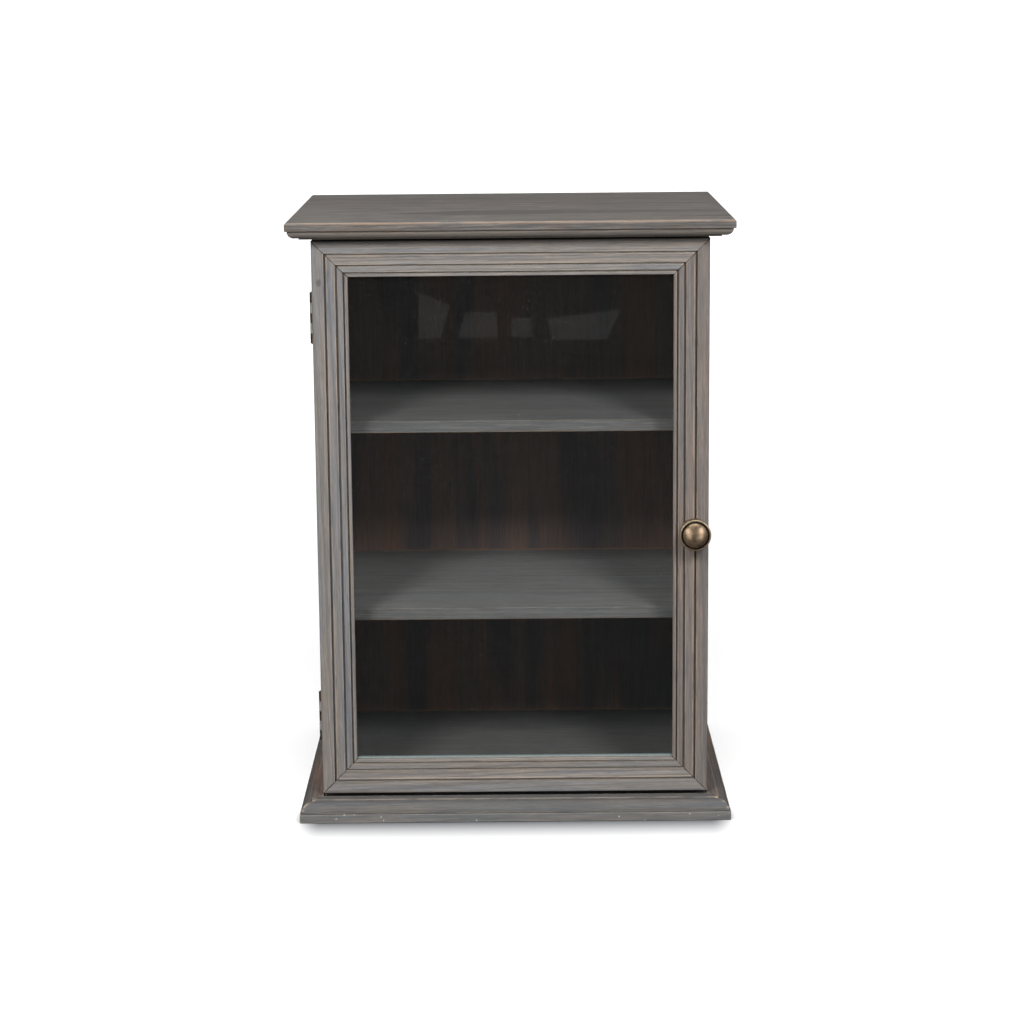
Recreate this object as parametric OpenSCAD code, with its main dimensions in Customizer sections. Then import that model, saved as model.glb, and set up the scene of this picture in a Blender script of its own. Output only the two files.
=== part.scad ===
// Table-top display case: a moulded softwood cabinet with one glazed door, two shelves,
// a crown and a base of mitred moulding, butt hinges, a magnetic catch and a mushroom knob.
// Origin: middle of the footprint of the top board, on the surface the case stands on.
// +X to the right, +Y to the back, +Z up; the door faces -Y. Millimetres.

/* [Overall] */
// Width over the side panels, which is also the width of the door
case_w = 387; // [300:1:600]
// Height over everything
overall_h = 600; // [540:1:900]
// Depth of the top board, front to back
overall_d = 360; // [240:1:500]

/* [Top board and crown] */
// Thickness of the top board
top_t = 8.5; // [7:0.5:20]
// How far the top board stands out beyond the case at the sides and the door at the front
top_overhang = 23.5; // [22:0.5:40]
// How far the crown moulding stands out
crown_reach = 21; // [16:0.5:22]
// Radius of the crown's quarter round
crown_ovolo_r = 7; // [4:0.5:8]
// Flat step between the crown's quarter round and its fillet
crown_step = 3.5; // [1:0.5:6]
// Height of the crown's fillet
crown_fillet_h = 1.5; // [1:0.5:5]

/* [Base] */
// Thickness of the base board
base_t = 9; // [7:0.5:20]
// How far the base board stands out beyond the case at the sides and the door at the front
base_overhang = 22.5; // [22:0.5:40]
// How far the base moulding stands out
base_reach = 21.5; // [18:0.5:22]
// Radius of the base's quarter round
base_ovolo_r = 9; // [5:0.5:10]
// Upright stretch under the base's quarter round
base_upright = 1.4; // [0.6:0.1:5]
// Flat step between the base's quarter round and its fillet
base_step = 1.5; // [1:0.5:5]
// Height of the base's fillet
base_fillet_h = 2; // [1:0.5:5]

/* [Carcass] */
// Thickness of each side panel
side_t = 12; // [12:0.5:20]
// Thickness of the floor panel, which lies on the base board
floor_t = 9.5; // [6:0.5:12]
// Thickness of the back panel
back_t = 4; // [3:0.5:8]
// How far the back panel lies in from the back edges
back_inset = 2.8; // [1:0.1:6]
// How far the back panel reaches into each side panel
back_rebate = 6; // [4:0.5:8]

/* [Shelves] */
// Thickness of each shelf
shelf_t = 12; // [8:0.5:18]
// Height of the lower shelf's top face above the ground
lower_shelf_z = 204; // [120:1:260]
// Height of the upper shelf's top face above the ground
upper_shelf_z = 396; // [300:1:480]
// How far the shelves' front edges lie behind the front edges of the sides
shelf_setback = 27.5; // [5:0.5:80]
// How deep the shelves are housed in the sides
housing = 4; // [2:0.5:6]

/* [Door] */
// Thickness of the door frame
door_t = 18; // [16:0.5:24]
// Width of the door's moulding, from its outer edge to the glass
frame_w = 35; // [35:0.5:60]
// Gap between the door and the case behind it
hinge_gap = 1.6; // [1.4:0.1:3]
// Gap between the door's lower edge and the base moulding
gap_below = 2.8; // [1.5:0.1:6]
// Gap between the door's upper edge and the crown moulding
gap_above = 2.8; // [1.5:0.1:6]

/* [Door moulding] */
// Width of the flat outer band
outer_band = 12; // [8:0.5:14]
// Width of each groove
groove_w = 1.9; // [1:0.1:2.5]
// Depth of each groove below the band outside it
groove_depth = 3; // [1.5:0.1:3.5]
// Width of the middle band, with its bead
middle_band = 9; // [6:0.5:10]
// Width of the inner band
inner_band = 5.4; // [3:0.1:6]
// How much lower each band lies than the one outside it
band_fall = 0.6; // [0.2:0.1:1]

/* [Glazing] */
// Thickness of the glass
glass_t = 3; // [2:0.5:4]
// Width of the rebate for the glass
rebate_w = 6.5; // [5:0.5:8]
// Thickness of wood left in front of the glass
lip_t = 6.5; // [6:0.5:9]
// Room for the glass inside its rebate, all round
glass_room = 1; // [0.5:0.1:2]
// Height of the glazing beads
bead_h = 6; // [4:0.5:7]

/* [Hinges] */
// Length of each hinge
hinge_l = 50; // [38:1:65]
// Distance from each end of the door to the hinge near it
hinge_inset = 51.5; // [30:0.5:90]
// Radius of the knuckles
knuckle_r = 2.75; // [2.3:0.05:3.3]
// Radius of the hinge pin
pin_r = 1.25; // [1:0.05:1.5]
// Thickness of a hinge leaf
leaf_t = 1.2; // [1:0.1:1.6]
// Width of a hinge leaf, from the outer face of the case
leaf_w = 11; // [10:0.5:12]

/* [Catch] */
// Distance from the middle of the door to the middle of the catch
catch_x = 140; // [40:1:150]
// Width of the body of the catch
catch_w = 26; // [20:1:40]
// Height of the body of the catch
catch_h = 13; // [11:0.5:16]
// Depth of the body of the catch
catch_d = 14; // [12:0.5:20]

/* [Knob] */
// Diameter of the knob's rim
knob_d = 31; // [28:0.5:38]
// Diameter of the knob's foot
knob_foot_d = 26; // [22:0.5:28]
// How far the knob stands out from the door
knob_reach = 28.5; // [27:0.5:34]
// Distance from the door's free edge to the middle of the knob
knob_edge = 14.5; // [13.5:0.5:20]
// Height of the knob's middle above the ground
knob_z = 291; // [120:1:460]

/* [Hidden] */
$fn = 64;

// Room that lets one piece go through another without touching it
fit = 0.1;
// Overshoot of a cutter beyond the face it opens
over = 1;

// Front-to-back stations
front_y = -overall_d / 2;
back_y = overall_d / 2;
door_front_y = front_y + top_overhang;
door_back_y = door_front_y + door_t;
case_front_y = door_back_y + hinge_gap;
base_front_y = door_front_y - base_overhang;
panel_back_y = back_y - back_inset;
panel_front_y = panel_back_y - back_t;
shelf_front_y = case_front_y + shelf_setback;
back_room = 0.2;

// Heights
crown_h = crown_ovolo_r + crown_fillet_h;
base_mould_h = base_upright + base_ovolo_r + base_fillet_h;
floor_z = base_t + floor_t;
ledge_z = base_t + base_mould_h;
top_z = overall_h - top_t;
ceiling_z = top_z - crown_h;
door_bottom_z = ledge_z + gap_below;
door_top_z = ceiling_z - gap_above;
door_h = door_top_z - door_bottom_z;

// Edge easing
board_arris = 2.5;
door_arris = 1.5;
soft_arris = 1;
fine_arris = 0.8;
plan_corner = 1.5;

// Door moulding, measured from its outer edge
groove_1 = outer_band;
middle_at = groove_1 + groove_w;
groove_2 = middle_at + middle_band;
inner_at = groove_2 + groove_w;
groove_3 = inner_at + inner_band;
lip_at = groove_3 + groove_w;
bead_r = 0.9;
hollow_r = 22;
hollow_depth = 0.35;
glass_y = door_front_y + lip_t;
sight_x = case_w / 2 - frame_w;
bead_margin = 0.5;
bead_w = rebate_w - bead_margin;
bead_round = 3.5;

// Hinges
knuckles = 5;
knuckle_gap = 0.3;
knuckle_room = 0.35;
pin_running = 0.05;
pin_head_r = 1.9;
pin_head_h = 0.8;
hinge_out = 0.65;
hinge_x = -case_w / 2 - hinge_out;
hinge_y = door_back_y + hinge_gap / 2;
leaf_split = 0.4;
upper_hinge_z = door_top_z - hinge_inset - hinge_l;
lower_hinge_z = door_bottom_z + hinge_inset;
hinge_screw_x = (hinge_x + knuckle_r + knuckle_room - case_w / 2 + leaf_w) / 2;
hinge_screw_in = 11;

// Screws
screw_head_r = 2.6;
screw_shank_r = 1.4;
screw_head_h = screw_head_r - screw_shank_r;
hinge_screw_l = 12;

// Catch
catch_ear = 8;
catch_ear_t = 2.5;
catch_setback = 1;
catch_front_y = case_front_y + catch_setback;
magnet_drop = 1.5;
catch_mid_z = ceiling_z - catch_h / 2 - magnet_drop;
magnet_wall = 3;
magnet_w = catch_w - 2 * magnet_wall;
magnet_h = 4;
magnet_d = 9;
pole_t = 1;
strike_t = 1.2;
strike_w = 36;
strike_h = 11;
strike_gap = 0.3;
pole_front_y = door_back_y + strike_t + strike_gap;
catch_screw_l = 8;
strike_screw_l = 10;

// Knob, with heights measured out from the door's front face
knob_x = case_w / 2 - knob_edge;
knob_r = knob_d / 2;
foot_r = knob_foot_d / 2;
foot_h = 2;
rim_w = 2.6;
dome_r = knob_r - rim_w;
dome_rise = 6;
dome_at = knob_reach - dome_rise;
dome_sphere_r = (dome_r * dome_r + dome_rise * dome_rise) / (2 * dome_rise);
rim_t = 1.8;
rim_at = dome_at - rim_t;
neck_r = 5.5;
flare_r = knob_r - rim_t - neck_r;
ring_groove = 1;
knob_screw_r = 2;
knob_screw_bite = 12;
knob_head_r = 4;
knob_head_h = 2.4;
knob_head_room = 0.5;
knob_counterbore = 3;
knob_blind_room = 0.5;

wash = [0.50, 0.48, 0.46];
wash_dark = [0.42, 0.41, 0.40];
back_wash = [0.22, 0.20, 0.18];
bronze = [0.30, 0.24, 0.16];
antique_brass = [0.50, 0.40, 0.25];
steel = [0.60, 0.60, 0.60];
clear_glass = [0.75, 0.85, 0.85, 0.3];
brown_plastic = [0.25, 0.18, 0.14];
magnet_grey = [0.20, 0.20, 0.20];

// ---- Shared shapes ----

// Cuts one square corner of a section back to a quarter circle of radius r
module corner_cut(r) {
    difference() {
        translate([-over, -over]) square(r + over);
        translate([r, r]) circle(r);
    }
}

// Section of a board: w wide, t thick, upper corners eased to r_top and lower corners to r_low
module eased_section(w, t, r_top, r_low) {
    difference() {
        square([w, t]);
        corner_cut(r_low);
        translate([w, 0]) mirror([1, 0]) corner_cut(r_low);
        translate([0, t]) mirror([0, 1]) corner_cut(r_top);
        translate([w, t]) mirror([1, 0]) mirror([0, 1]) corner_cut(r_top);
    }
}

// Board with eased arrises at its front and sides and a square back edge
module overhanging_board(w, y0, y1, t, r_top, r_low) {
    d = y1 - y0;
    intersection() {
        translate([-w / 2, y1, 0]) rotate([90, 0, 0]) linear_extrude(d) eased_section(w, t, r_top, r_low);
        translate([-w / 2, y0, 0]) rotate([90, 0, 90]) linear_extrude(w)
            eased_section(d + board_arris + over, t, r_top, r_low);
        translate([-w / 2, y0, 0]) linear_extrude(t) difference() {
            square([w, d]);
            corner_cut(plan_corner);
            translate([w, 0]) mirror([1, 0]) corner_cut(plan_corner);
        }
    }
}

// Section of an ovolo moulding standing on a board: x outward from the case, y away from the board
module ovolo_section(reach, upright, r, step, fillet_h) {
    h = upright + r + fillet_h;
    difference() {
        square([reach, h]);
        // quarter round
        difference() {
            translate([reach - r, upright]) square([r + over, h]);
            translate([reach - r, upright]) circle(r);
        }
        // step back to the fillet
        translate([reach - r - step, upright + r]) square([r + step + over, fillet_h + over]);
        // eased foot, which leaves a fine seam above the board
        translate([reach, 0]) mirror([1, 0]) corner_cut(fine_arris);
    }
}

module base_section() {
    ovolo_section(base_reach, base_upright, base_ovolo_r, base_step, base_fillet_h);
}

module crown_section() {
    mirror([0, 1]) ovolo_section(crown_reach, 0, crown_ovolo_r, crown_step, crown_fillet_h);
}

// Moulding across the front, mitred at both ends, made from a section of the given reach
module front_run(reach, z0, z1) {
    length = case_w + 2 * reach;
    intersection() {
        translate([-length / 2, door_front_y, 0]) mirror([0, 1, 0]) rotate([90, 0, 90])
            linear_extrude(length) children();
        translate([0, door_front_y, z0]) linear_extrude(z1 - z0) polygon([
            [-case_w / 2, 0], [case_w / 2, 0], [length / 2, -reach], [-length / 2, -reach]
        ]);
    }
}

// Moulding along the right side, mitred at the front and square at the back
module side_run(reach, z0, z1) {
    length = back_y - door_front_y;
    intersection() {
        translate([case_w / 2, back_y, 0]) rotate([90, 0, 0]) linear_extrude(length + reach) children();
        translate([case_w / 2, back_y, z0]) linear_extrude(z1 - z0) polygon([
            [0, 0], [0, -length], [reach, -length - reach], [reach, 0]
        ]);
    }
}

module on_left() {
    mirror([1, 0, 0]) children();
}

// Countersunk screw: head flush at z = 0, shank down along -Z
module countersunk_screw(length, room = 0) {
    translate([0, 0, -screw_head_h - room]) cylinder(h = screw_head_h + room,
        r1 = screw_shank_r + room, r2 = screw_head_r + room);
    translate([0, 0, -length - room]) cylinder(h = length, r = screw_shank_r + room);
}

// ---- Base ----

module base_board() {
    color(wash_dark) overhanging_board(case_w + 2 * base_overhang, base_front_y, back_y, base_t,
        fine_arris, fine_arris);
}

module base_front_moulding() {
    color(wash_dark) front_run(base_reach, base_t, ledge_z) translate([0, base_t]) base_section();
}

module base_right_moulding() {
    color(wash_dark) side_run(base_reach, base_t, ledge_z) translate([0, base_t]) base_section();
}

module base_left_moulding() {
    on_left() base_right_moulding();
}

// ---- Crown ----

module top_board() {
    color(wash_dark) translate([0, 0, top_z])
        overhanging_board(case_w + 2 * top_overhang, front_y, back_y, top_t, board_arris, soft_arris);
}

module crown_front_moulding() {
    color(wash) front_run(crown_reach, ceiling_z, top_z) translate([0, top_z]) crown_section();
}

module crown_right_moulding() {
    color(wash) side_run(crown_reach, ceiling_z, top_z) translate([0, top_z]) crown_section();
}

module crown_left_moulding() {
    on_left() crown_right_moulding();
}

// ---- Carcass ----

module carcass_panel(z0, t) {
    translate([-case_w / 2, door_front_y, z0]) cube([case_w, back_y - door_front_y, t]);
}

module case_floor() {
    color(wash) carcass_panel(base_t, floor_t);
}

module case_top() {
    color(wash) difference() {
        carcass_panel(ceiling_z, crown_h);
        catch_screw_set(fit);
    }
}

// Side panel on the right, with its two shelf housings and the rebate for the back
module side_blank() {
    difference() {
        translate([case_w / 2 - side_t, case_front_y, floor_z])
            cube([side_t, back_y - case_front_y, ceiling_z - floor_z]);
        for (z = [lower_shelf_z, upper_shelf_z])
            translate([case_w / 2 - side_t - over, shelf_front_y, z - shelf_t])
                cube([housing + over, panel_front_y - shelf_front_y, shelf_t]);
        translate([case_w / 2 - side_t - over, panel_front_y, floor_z - over])
            cube([back_rebate + over, back_y - panel_front_y + over, ceiling_z - floor_z + 2 * over]);
    }
}

module right_side() {
    color(wash) side_blank();
}

module left_side() {
    color(wash) difference() {
        on_left() side_blank();
        for (z = [lower_hinge_z, upper_hinge_z]) translate([0, 0, z]) {
            leaf_pocket(case_front_y, 1);
            barrel_notch();
            hinge_screw_pair(1, fit);
        }
    }
}

module back_panel() {
    w = case_w - 2 * side_t + 2 * back_rebate - 2 * back_room;
    color(back_wash) translate([-w / 2, panel_front_y, floor_z]) cube([w, back_t, ceiling_z - floor_z]);
}

module shelf(z) {
    w = case_w - 2 * side_t + 2 * housing;
    color(wash) translate([-w / 2, panel_front_y, z - shelf_t]) rotate([90, 0, 90]) linear_extrude(w)
        mirror([1, 0]) difference() {
            square([panel_front_y - shelf_front_y, shelf_t]);
            translate([panel_front_y - shelf_front_y, shelf_t]) mirror([1, 0]) mirror([0, 1])
                corner_cut(fine_arris);
            translate([panel_front_y - shelf_front_y, 0]) mirror([1, 0]) corner_cut(fine_arris);
        }
}

module upper_shelf() {
    shelf(upper_shelf_z);
}

module lower_shelf() {
    shelf(lower_shelf_z);
}

// ---- Hinges ----

// Pocket for a leaf: face is the wood's face, way is 1 where the wood lies behind it and -1 in front
module leaf_pocket(face, way) {
    depth = leaf_t + leaf_split / 2 - hinge_gap / 2;
    y0 = way > 0 ? face - over : face - depth;
    translate([-case_w / 2 - over, y0, -fit])
        cube([leaf_w + over + fit, depth + over, hinge_l + 2 * fit]);
}

// Round notch that clears the barrel and the heads of its pin
module barrel_notch() {
    translate([hinge_x, hinge_y, -pin_head_h - knuckle_room])
        cylinder(h = hinge_l + 2 * (pin_head_h + knuckle_room), r = knuckle_r + knuckle_room);
}

// Every second knuckle, from the first or the second up, with gaps between neighbours
module knuckle_stack(parity, r, room) {
    pitch = hinge_l / knuckles;
    for (i = [parity : 2 : knuckles - 1]) {
        z0 = i * pitch + (i == 0 ? 0 : knuckle_gap / 2) - room;
        z1 = (i + 1) * pitch - (i == knuckles - 1 ? 0 : knuckle_gap / 2) + room;
        translate([hinge_x, hinge_y, z0]) cylinder(h = z1 - z0, r = r);
    }
}

// Leaf at z = 0: way is 1 for the fixed leaf behind the gap and -1 for the door's leaf in front of it
module hinge_leaf(way) {
    parity = way > 0 ? 0 : 1;
    y0 = way > 0 ? hinge_y + leaf_split / 2 : hinge_y - leaf_split / 2 - leaf_t;
    difference() {
        union() {
            translate([hinge_x, y0, 0]) cube([leaf_w + hinge_out, leaf_t, hinge_l]);
            knuckle_stack(parity, knuckle_r, 0);
        }
        knuckle_stack(1 - parity, knuckle_r + knuckle_room, knuckle_gap);
        translate([hinge_x, hinge_y, -over]) cylinder(h = hinge_l + 2 * over, r = pin_r + pin_running);
        hinge_screw_pair(way, fit / 2);
    }
}

// The two screws of one leaf, heads in the leaf and shanks in the wood
module hinge_screw_pair(way, room) {
    for (z = [hinge_screw_in, hinge_l - hinge_screw_in])
        translate([hinge_screw_x, hinge_y + way * leaf_split / 2, z]) rotate([way * 90, 0, 0])
            countersunk_screw(hinge_screw_l, room);
}

module hinge_pin() {
    translate([hinge_x, hinge_y, 0]) {
        cylinder(h = hinge_l, r = pin_r);
        translate([0, 0, -pin_head_h]) cylinder(h = pin_head_h, r1 = pin_r, r2 = pin_head_r);
        translate([0, 0, hinge_l]) cylinder(h = pin_head_h, r1 = pin_head_r, r2 = pin_r);
    }
}

module upper_hinge_case_leaf() {
    color(bronze) translate([0, 0, upper_hinge_z]) hinge_leaf(1);
}

module lower_hinge_case_leaf() {
    color(bronze) translate([0, 0, lower_hinge_z]) hinge_leaf(1);
}

module upper_hinge_door_leaf() {
    color(bronze) translate([0, 0, upper_hinge_z]) hinge_leaf(-1);
}

module lower_hinge_door_leaf() {
    color(bronze) translate([0, 0, lower_hinge_z]) hinge_leaf(-1);
}

module upper_hinge_pin() {
    color(bronze) translate([0, 0, upper_hinge_z]) hinge_pin();
}

module lower_hinge_pin() {
    color(bronze) translate([0, 0, lower_hinge_z]) hinge_pin();
}

module hinge_case_screws() {
    color(bronze) for (z = [lower_hinge_z, upper_hinge_z]) translate([0, 0, z]) hinge_screw_pair(1, 0);
}

module hinge_door_screws() {
    color(bronze) for (z = [lower_hinge_z, upper_hinge_z]) translate([0, 0, z]) hinge_screw_pair(-1, 0);
}

// ---- Door frame ----

// Section of the door's moulding: x from the outer edge to the glass, y from the back face forward
module frame_section() {
    difference() {
        square([frame_w, door_t]);
        // eased outer arris
        translate([0, door_t]) mirror([0, 1]) corner_cut(door_arris);
        // three grooves
        for (g = [[groove_1, 0], [groove_2, 1], [groove_3, 2]])
            translate([g[0], door_t - g[1] * band_fall - groove_depth])
                square([groove_w, groove_depth + g[1] * band_fall + over]);
        // middle band, lower than the outer one, with a bead at its outer edge
        translate([middle_at + 2 * bead_r, door_t - band_fall])
            square([middle_band - 2 * bead_r, band_fall + over]);
        translate([middle_at, door_t - bead_r]) difference() {
            square([2 * bead_r, bead_r + over]);
            translate([bead_r, 0]) circle(bead_r);
        }
        // shallow hollow along the rest of the middle band
        intersection() {
            translate([middle_at + bead_r + middle_band / 2, door_t - band_fall - hollow_depth + hollow_r])
                circle(hollow_r);
            translate([middle_at, door_t - band_fall - over]) square([middle_band, over]);
        }
        // inner band
        translate([inner_at, door_t - 2 * band_fall]) square([inner_band, 2 * band_fall + over]);
        translate([inner_at, door_t - 2 * band_fall]) mirror([0, 1]) corner_cut(fine_arris);
        // lip beside the glass
        translate([lip_at, door_t - 3 * band_fall]) square([frame_w, 3 * band_fall + over]);
        translate([frame_w, door_t - 3 * band_fall]) mirror([1, 0]) mirror([0, 1]) corner_cut(soft_arris);
        // rebate for the glass and its bead
        translate([frame_w - rebate_w, -over]) square([rebate_w + over, door_t - lip_t + over]);
    }
}

// Section of a glazing bead: x from the rebate's wall towards the opening, y from the glass backward
module bead_section() {
    difference() {
        square([bead_w, bead_h]);
        translate([bead_w, bead_h]) mirror([1, 0]) mirror([0, 1]) corner_cut(bead_round);
    }
}

// Strip along +X with both ends mitred, x0 in from the outer corner: its section's x runs to +Y
module mitred_strip(length, x0, w, h) {
    intersection() {
        translate([0, x0, 0]) rotate([90, 0, 90]) linear_extrude(length) children();
        linear_extrude(h) polygon([
            [x0, x0], [length - x0, x0], [length - x0 - w, x0 + w], [x0 + w, x0 + w]
        ]);
    }
}

module frame_member(length) {
    mitred_strip(length, 0, frame_w, door_t) frame_section();
}

module bead_member(length) {
    translate([0, 0, door_t - lip_t - glass_t]) mirror([0, 0, 1])
        mitred_strip(length, frame_w - rebate_w, bead_w, bead_h) bead_section();
}

// The four places round the door: a strip's outer edge goes to the door's outer edge
module at_bottom() {
    translate([-case_w / 2, door_back_y, door_bottom_z]) rotate([90, 0, 0]) children();
}

module at_top() {
    translate([-case_w / 2, door_back_y, door_top_z]) mirror([0, 0, 1]) rotate([90, 0, 0]) children();
}

module at_left() {
    translate([-case_w / 2, door_back_y, door_top_z]) rotate([90, 90, 0]) children();
}

module bottom_rail() {
    color(wash) at_bottom() frame_member(case_w);
}

module top_rail() {
    color(wash) difference() {
        at_top() frame_member(case_w);
        strike_screw_shape(fit);
    }
}

module left_stile() {
    color(wash) difference() {
        at_left() frame_member(door_h);
        for (z = [lower_hinge_z, upper_hinge_z]) translate([0, 0, z]) {
            leaf_pocket(door_back_y, -1);
            barrel_notch();
            hinge_screw_pair(-1, fit);
        }
    }
}

module right_stile() {
    color(wash) difference() {
        on_left() at_left() frame_member(door_h);
        knob_axis() {
            translate([0, 0, -door_t - over]) {
                cylinder(h = door_t + 2 * over, r = knob_screw_r + 2 * fit);
                cylinder(h = knob_counterbore + over, r = knob_head_r + knob_head_room);
            }
        }
    }
}

module glass_pane() {
    w = 2 * (sight_x + rebate_w - glass_room);
    z0 = door_bottom_z + frame_w - rebate_w + glass_room;
    z1 = door_top_z - frame_w + rebate_w - glass_room;
    color(clear_glass) translate([-w / 2, glass_y, z0]) cube([w, glass_t, z1 - z0]);
}

module bottom_bead() {
    color(wash) at_bottom() bead_member(case_w);
}

module top_bead() {
    color(wash) at_top() bead_member(case_w);
}

module left_bead() {
    color(wash) at_left() bead_member(door_h);
}

module right_bead() {
    color(wash) on_left() at_left() bead_member(door_h);
}

// ---- Catch ----

// Plan of the catch: a block with a rounded ear at each end
module catch_plan() {
    reach = catch_w / 2 + catch_ear - catch_d / 2;
    translate([-reach, 0]) square([2 * reach, catch_d]);
    for (s = [-1, 1]) translate([s * reach, catch_d / 2]) circle(catch_d / 2);
}

module catch_body() {
    color(brown_plastic) difference() {
        translate([catch_x, catch_front_y, ceiling_z - catch_h]) union() {
            translate([-catch_w / 2, 0, 0]) cube([catch_w, catch_d, catch_h]);
            translate([0, 0, catch_h - catch_ear_t]) linear_extrude(catch_ear_t) catch_plan();
        }
        translate([catch_x - magnet_w / 2, catch_front_y - over, catch_mid_z - magnet_h / 2 - pole_t])
            cube([magnet_w, magnet_d + over, magnet_h + 2 * pole_t]);
        catch_screw_set(fit / 2);
    }
}

module catch_magnet() {
    color(magnet_grey) translate([catch_x - magnet_w / 2, catch_front_y, catch_mid_z - magnet_h / 2])
        cube([magnet_w, magnet_d, magnet_h]);
}

module catch_pole_plates() {
    color(steel) for (z = [-magnet_h / 2 - pole_t, magnet_h / 2])
        translate([catch_x - magnet_w / 2, pole_front_y, catch_mid_z + z])
            cube([magnet_w, catch_front_y + magnet_d - pole_front_y, pole_t]);
}

module catch_screw_set(room) {
    for (s = [-1, 1])
        translate([catch_x + s * (catch_w / 2 + catch_ear / 2), catch_front_y + catch_d / 2,
            ceiling_z - catch_ear_t]) rotate([180, 0, 0]) countersunk_screw(catch_screw_l, room);
}

module catch_screws() {
    color(steel) catch_screw_set(0);
}

module strike_screw_shape(room) {
    translate([catch_x, door_back_y + strike_t, catch_mid_z]) rotate([-90, 0, 0])
        countersunk_screw(strike_screw_l, room);
}

module strike_plate() {
    color(steel) difference() {
        translate([catch_x, door_back_y + strike_t, catch_mid_z]) rotate([90, 0, 0])
            linear_extrude(strike_t) {
                square([strike_w - strike_h, strike_h], center = true);
                for (s = [-1, 1]) translate([s * (strike_w - strike_h) / 2, 0]) circle(strike_h / 2);
            }
        strike_screw_shape(fit / 2);
    }
}

module strike_screw() {
    color(steel) strike_screw_shape(0);
}

// ---- Knob ----

// Places its children on the knob's axis: z = 0 is the door's front face and +Z points out of it
module knob_axis() {
    translate([knob_x, door_front_y, knob_z]) rotate([90, 0, 0]) children();
}

// Half section of the knob: x is the radius, y the height out from the door
module knob_section() {
    cove_r = foot_r - neck_r;
    difference() {
        union() {
            // foot and the cove above it
            square([foot_r, foot_h]);
            difference() {
                translate([0, foot_h]) square([foot_r, cove_r]);
                translate([foot_r, foot_h + cove_r]) circle(cove_r);
            }
            // neck, flaring out in a quarter round to the underside of the rim
            difference() {
                translate([0, foot_h + cove_r]) square([neck_r + flare_r, rim_at - foot_h - cove_r]);
                translate([neck_r + flare_r, rim_at - flare_r]) circle(flare_r);
                translate([neck_r, foot_h]) square([flare_r + over, rim_at - flare_r - foot_h]);
            }
            // rim
            translate([0, rim_at]) square([knob_r - rim_t / 2, rim_t]);
            translate([knob_r - rim_t / 2, rim_at + rim_t / 2]) circle(rim_t / 2);
            // domed face
            intersection() {
                translate([0, dome_at - ring_groove]) square([dome_r, dome_rise + ring_groove + over]);
                translate([0, knob_reach - dome_sphere_r]) circle(dome_sphere_r);
            }
        }
        // groove round the dome
        translate([dome_r, dome_at - ring_groove]) square([ring_groove, ring_groove + over]);
        // blind hole for the screw
        translate([-over, -over])
            square([knob_screw_r + fit / 2 + over, knob_screw_bite + knob_blind_room + over]);
    }
}

module knob() {
    color(antique_brass) knob_axis() rotate_extrude() intersection() {
        knob_section();
        square([knob_r + over, knob_reach + over]);
    }
}

module knob_screw() {
    color(steel) knob_axis() {
        seat_z = knob_counterbore - door_t;
        translate([0, 0, seat_z - knob_head_h]) cylinder(h = knob_head_h, r = knob_head_r);
        translate([0, 0, seat_z]) cylinder(h = knob_screw_bite - seat_z, r = knob_screw_r);
    }
}

base_board();
base_front_moulding();
base_left_moulding();
base_right_moulding();
case_floor();
left_side();
right_side();
case_top();
top_board();
crown_front_moulding();
crown_left_moulding();
crown_right_moulding();
back_panel();
upper_shelf();
lower_shelf();
upper_hinge_case_leaf();
lower_hinge_case_leaf();
upper_hinge_pin();
lower_hinge_pin();
hinge_case_screws();
catch_body();
catch_magnet();
catch_pole_plates();
catch_screws();
left_stile();
right_stile();
top_rail();
bottom_rail();
glass_pane();
left_bead();
right_bead();
top_bead();
bottom_bead();
upper_hinge_door_leaf();
lower_hinge_door_leaf();
hinge_door_screws();
strike_plate();
strike_screw();
knob();
knob_screw();
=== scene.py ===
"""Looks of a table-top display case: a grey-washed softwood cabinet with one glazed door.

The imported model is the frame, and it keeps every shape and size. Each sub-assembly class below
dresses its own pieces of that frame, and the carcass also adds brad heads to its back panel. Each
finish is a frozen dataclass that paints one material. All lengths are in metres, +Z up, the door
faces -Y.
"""
import logging
import math
from dataclasses import dataclass, field, replace
from enum import Enum
from typing import Optional, Sequence, Union

import bmesh
import bpy
from mathutils import Matrix, Vector


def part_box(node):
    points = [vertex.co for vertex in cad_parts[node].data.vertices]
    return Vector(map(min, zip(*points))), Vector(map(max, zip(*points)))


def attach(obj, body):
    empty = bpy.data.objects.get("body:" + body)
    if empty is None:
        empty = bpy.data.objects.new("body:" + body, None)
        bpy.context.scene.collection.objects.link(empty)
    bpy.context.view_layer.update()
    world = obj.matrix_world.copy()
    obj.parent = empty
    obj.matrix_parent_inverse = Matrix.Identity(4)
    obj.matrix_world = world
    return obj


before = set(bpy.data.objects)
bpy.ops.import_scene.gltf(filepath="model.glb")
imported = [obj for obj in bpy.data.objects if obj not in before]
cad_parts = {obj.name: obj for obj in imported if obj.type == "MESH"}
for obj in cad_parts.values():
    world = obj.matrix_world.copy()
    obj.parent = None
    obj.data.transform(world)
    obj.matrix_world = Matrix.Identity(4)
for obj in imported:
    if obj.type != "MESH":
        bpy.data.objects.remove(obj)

LOG = logging.getLogger("display_case")
MM = 0.001
Tone = tuple[float, float, float]
Socket = bpy.types.NodeSocket
Source = Union[Socket, float]


def shade(red: float, green: float, blue: float) -> Tone:
    """Turns a shade as a paint chart gives it, 0 to 255, into the linear tone a shader wants.

    Args:
        red: Red, 0 to 255.
        green: Green, 0 to 255.
        blue: Blue, 0 to 255.

    Returns:
        The linear tone, 0 to 1.
    """

    def linear(value: float) -> float:
        """One channel, by the usual display curve."""
        v = value / 255
        return v / 12.92 if v <= 0.04045 else ((v + 0.055) / 1.055) ** 2.4

    return linear(red), linear(green), linear(blue)


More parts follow.
